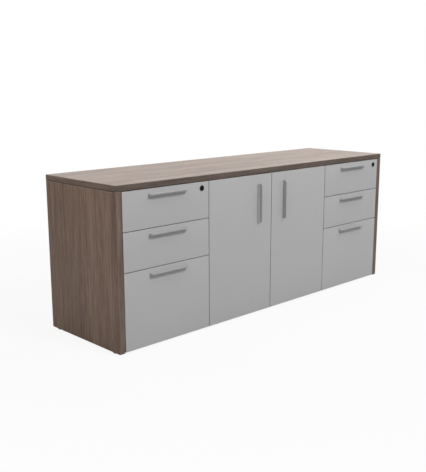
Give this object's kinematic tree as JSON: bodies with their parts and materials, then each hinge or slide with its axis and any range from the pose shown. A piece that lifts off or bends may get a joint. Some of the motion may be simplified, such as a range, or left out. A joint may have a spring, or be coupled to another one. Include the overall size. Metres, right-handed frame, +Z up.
{
  "type": "office credenza",
  "caption": "Low office credenza: wood-grain top and end panels, grey fronts, a drawer pedestal at each end, a two-door cabinet between, lip pulls, gang locks and levelling glides.",
  "frame": {"origin": "on the floor, under the middle of the overall box, pulls included", "axes": "+X to the right seen from the front, -Y towards the person in front of it, +Z up"},
  "size_m": [1.829, 0.525, 0.6985],
  "materials": {
    "wood_grain_laminate": "grey-brown walnut-grain laminate, satin",
    "grey_laminate": "plain light grey laminate, fine matte",
    "inner_board": "grey melamine-faced board",
    "pull_metal": "satin silver grey, fine brushed",
    "drawer_steel": "dark grey powder coat",
    "plated_steel": "bright zinc plate",
    "lock_black": "black satin",
    "glide_plastic": "natural nylon, off-white"
  },
  "bodies": {
    "carcass": {"top_panel": "wood_grain_laminate", "left_end_panel": "wood_grain_laminate", "right_end_panel": "wood_grain_laminate", "back_panel": "wood_grain_laminate", "bottom_panel": "inner_board", "shelf": "inner_board", "left_partition": "inner_board", "right_partition": "inner_board", "left_front_glide": "glide_plastic", "left_rear_glide": "glide_plastic", "right_front_glide": "glide_plastic", "right_rear_glide": "glide_plastic", "left_lower_hinge_arm": "plated_steel", "left_upper_hinge_arm": "plated_steel", "right_lower_hinge_arm": "plated_steel", "right_upper_hinge_arm": "plated_steel", "left_top_drawer_left_runner": "plated_steel", "left_top_drawer_right_runner": "plated_steel", "left_middle_drawer_left_runner": "plated_steel", "left_middle_drawer_right_runner": "plated_steel", "left_file_drawer_left_runner": "plated_steel", "left_file_drawer_right_runner": "plated_steel", "right_top_drawer_left_runner": "plated_steel", "right_top_drawer_right_runner": "plated_steel", "right_middle_drawer_left_runner": "plated_steel", "right_middle_drawer_right_runner": "plated_steel", "right_file_drawer_left_runner": "plated_steel", "right_file_drawer_right_runner": "plated_steel"},
    "left_door": {"left_door": "grey_laminate", "left_door_pull": "pull_metal", "left_lower_hinge_cup": "plated_steel", "left_upper_hinge_cup": "plated_steel"},
    "right_door": {"right_door": "grey_laminate", "right_door_pull": "pull_metal", "right_lower_hinge_cup": "plated_steel", "right_upper_hinge_cup": "plated_steel"},
    "left_top_drawer": {"left_top_drawer_front": "grey_laminate", "left_top_drawer_pull": "pull_metal", "left_top_drawer_body": "drawer_steel"},
    "left_middle_drawer": {"left_middle_drawer_front": "grey_laminate", "left_middle_drawer_pull": "pull_metal", "left_middle_drawer_body": "drawer_steel"},
    "left_file_drawer": {"left_file_drawer_front": "grey_laminate", "left_file_drawer_pull": "pull_metal", "left_file_drawer_body": "drawer_steel"},
    "left_file_carriage": {"left_file_drawer_carriage": "plated_steel"},
    "right_top_drawer": {"right_top_drawer_front": "grey_laminate", "right_top_drawer_pull": "pull_metal", "right_top_drawer_body": "drawer_steel"},
    "right_middle_drawer": {"right_middle_drawer_front": "grey_laminate", "right_middle_drawer_pull": "pull_metal", "right_middle_drawer_body": "drawer_steel"},
    "right_file_drawer": {"right_file_drawer_front": "grey_laminate", "right_file_drawer_pull": "pull_metal", "right_file_drawer_body": "drawer_steel"},
    "right_file_carriage": {"right_file_drawer_carriage": "plated_steel"},
    "left_lock_plug": {"left_lock_plug": "lock_black"},
    "right_lock_plug": {"right_lock_plug": "lock_black"},
    "left_lock_bar": {"left_lock_bar": "plated_steel"},
    "right_lock_bar": {"right_lock_bar": "plated_steel"}
  },
  "joints": [
    {"name": "left_door_hinge", "type": "hinge", "parent": "carcass", "child": "left_door", "pos_m": [-0.401, -0.235, 0.337], "axis": [0, 0, -1], "range_deg": [0, 90]},
    {"name": "right_door_hinge", "type": "hinge", "parent": "carcass", "child": "right_door", "pos_m": [0.401, -0.235, 0.337], "axis": [0, 0, 1], "range_deg": [0, 90]},
    {"name": "left_top_drawer_slide", "type": "slide", "parent": "carcass", "child": "left_top_drawer", "axis": [0, -1, 0], "range_m": [0, 0.285]},
    {"name": "left_middle_drawer_slide", "type": "slide", "parent": "carcass", "child": "left_middle_drawer", "axis": [0, -1, 0], "range_m": [0, 0.285]},
    {"name": "left_file_drawer_slide", "type": "slide", "parent": "carcass", "child": "left_file_drawer", "axis": [0, -1, 0], "range_m": [0, 0.42]},
    {"name": "left_file_carriage_slide", "type": "slide", "parent": "carcass", "child": "left_file_carriage", "axis": [0, -1, 0], "range_m": [0, 0.21]},
    {"name": "right_top_drawer_slide", "type": "slide", "parent": "carcass", "child": "right_top_drawer", "axis": [0, -1, 0], "range_m": [0, 0.285]},
    {"name": "right_middle_drawer_slide", "type": "slide", "parent": "carcass", "child": "right_middle_drawer", "axis": [0, -1, 0], "range_m": [0, 0.285]},
    {"name": "right_file_drawer_slide", "type": "slide", "parent": "carcass", "child": "right_file_drawer", "axis": [0, -1, 0], "range_m": [0, 0.42]},
    {"name": "right_file_carriage_slide", "type": "slide", "parent": "carcass", "child": "right_file_carriage", "axis": [0, -1, 0], "range_m": [0, 0.21]},
    {"name": "left_lock_turn", "type": "hinge", "parent": "left_top_drawer", "child": "left_lock_plug", "pos_m": [-0.4545, -0.2425, 0.643], "axis": [0, 1, 0], "range_deg": [0, 90]},
    {"name": "right_lock_turn", "type": "hinge", "parent": "right_top_drawer", "child": "right_lock_plug", "pos_m": [0.842, -0.2425, 0.643], "axis": [0, 1, 0], "range_deg": [0, 90]},
    {"name": "left_lock_bar_lift", "type": "slide", "parent": "carcass", "child": "left_lock_bar", "axis": [0, 0, 1], "range_m": [0, 0.0078]},
    {"name": "right_lock_bar_lift", "type": "slide", "parent": "carcass", "child": "right_lock_bar", "axis": [0, 0, 1], "range_m": [0, 0.0078]}
  ],
  "couplings": [
    {"joint": "left_file_carriage_slide", "follows": "left_file_drawer_slide", "ratio": 0.5},
    {"joint": "right_file_carriage_slide", "follows": "right_file_drawer_slide", "ratio": 0.5},
    {"joint": "left_lock_turn", "follows": "left_lock_bar_lift", "rad_per_m": 201.3},
    {"joint": "right_lock_turn", "follows": "right_lock_bar_lift", "rad_per_m": 201.3}
  ]
}
